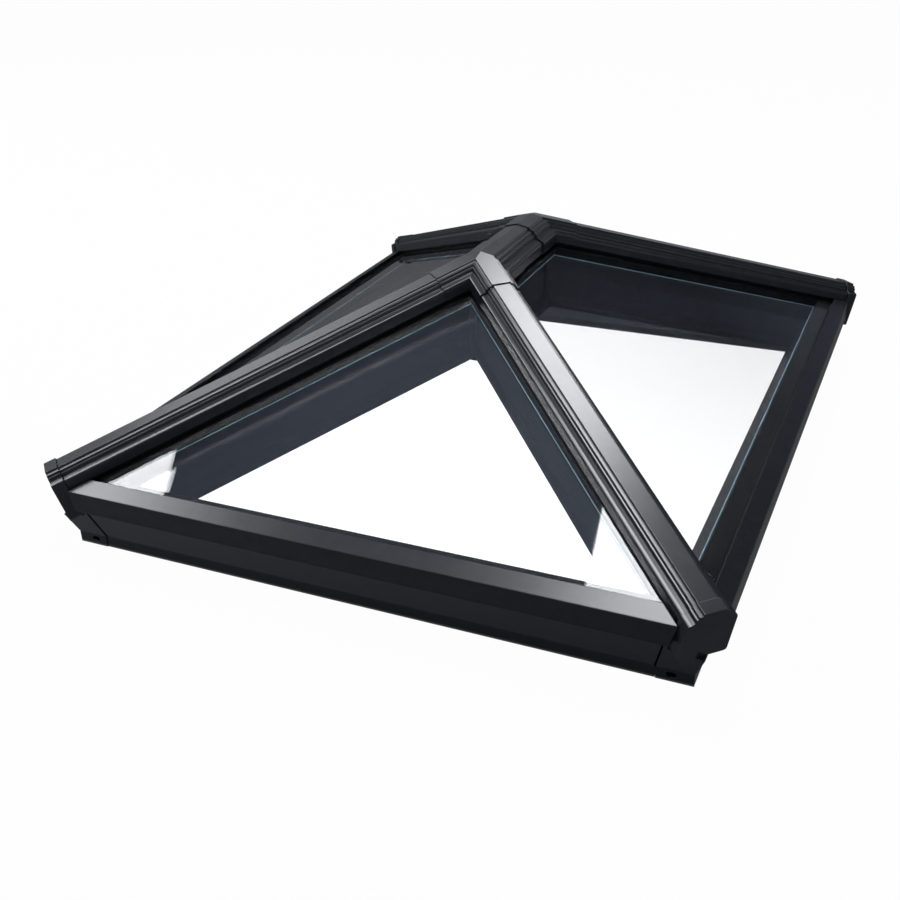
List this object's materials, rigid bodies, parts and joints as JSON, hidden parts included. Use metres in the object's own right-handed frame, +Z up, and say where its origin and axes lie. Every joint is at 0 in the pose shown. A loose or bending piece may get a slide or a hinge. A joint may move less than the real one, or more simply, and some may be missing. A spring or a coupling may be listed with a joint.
{
  "type": "roof lantern",
  "caption": "Glazed hip-roof lantern on a flared rectangular ring beam, with moulded hip caps, three-way boss caps, leaning hip end caps and pitched eaves caps.",
  "frame": {"origin": "middle of the rectangle that the ring beam's underside stands on", "axes": "+Z up, +Y along the ridge, so the near hip end faces -Y, +X to the right"},
  "size_m": [1.0894, 1.3294, 0.386],
  "materials": {
    "coated_frame": "satin powder coat, anthracite",
    "glass": "clear, faintly blue",
    "spacer_frame": "matt black",
    "glazing_gasket": "matt black"
  },
  "bodies": {
    "root": {"boss_cap_back": "coated_frame", "boss_cap_front": "coated_frame", "corner_block_back_left": "coated_frame", "corner_block_back_right": "coated_frame", "corner_block_front_left": "coated_frame", "corner_block_front_right": "coated_frame", "eaves_cap_back": "coated_frame", "eaves_cap_front": "coated_frame", "eaves_cap_left": "coated_frame", "eaves_cap_right": "coated_frame", "gasket_back": "glazing_gasket", "gasket_front": "glazing_gasket", "gasket_left": "glazing_gasket", "gasket_right": "glazing_gasket", "hip_cap_back_left": "coated_frame", "hip_cap_back_right": "coated_frame", "hip_cap_front_left": "coated_frame", "hip_cap_front_right": "coated_frame", "hip_end_cap_back_left": "coated_frame", "hip_end_cap_back_right": "coated_frame", "hip_end_cap_front_left": "coated_frame", "hip_end_cap_front_right": "coated_frame", "hip_rafter_back_left": "coated_frame", "hip_rafter_back_right": "coated_frame", "hip_rafter_front_left": "coated_frame", "hip_rafter_front_right": "coated_frame", "inner_pane_back": "glass", "inner_pane_front": "glass", "inner_pane_left": "glass", "inner_pane_right": "glass", "outer_pane_back": "glass", "outer_pane_front": "glass", "outer_pane_left": "glass", "outer_pane_right": "glass", "ridge_beam": "coated_frame", "ridge_boss_back": "coated_frame", "ridge_boss_front": "coated_frame", "ridge_cap": "coated_frame", "ring_beam_back": "coated_frame", "ring_beam_front": "coated_frame", "ring_beam_left": "coated_frame", "ring_beam_right": "coated_frame", "spacer_back": "spacer_frame", "spacer_front": "spacer_frame", "spacer_left": "spacer_frame", "spacer_right": "spacer_frame"}
  },
  "joints": []
}
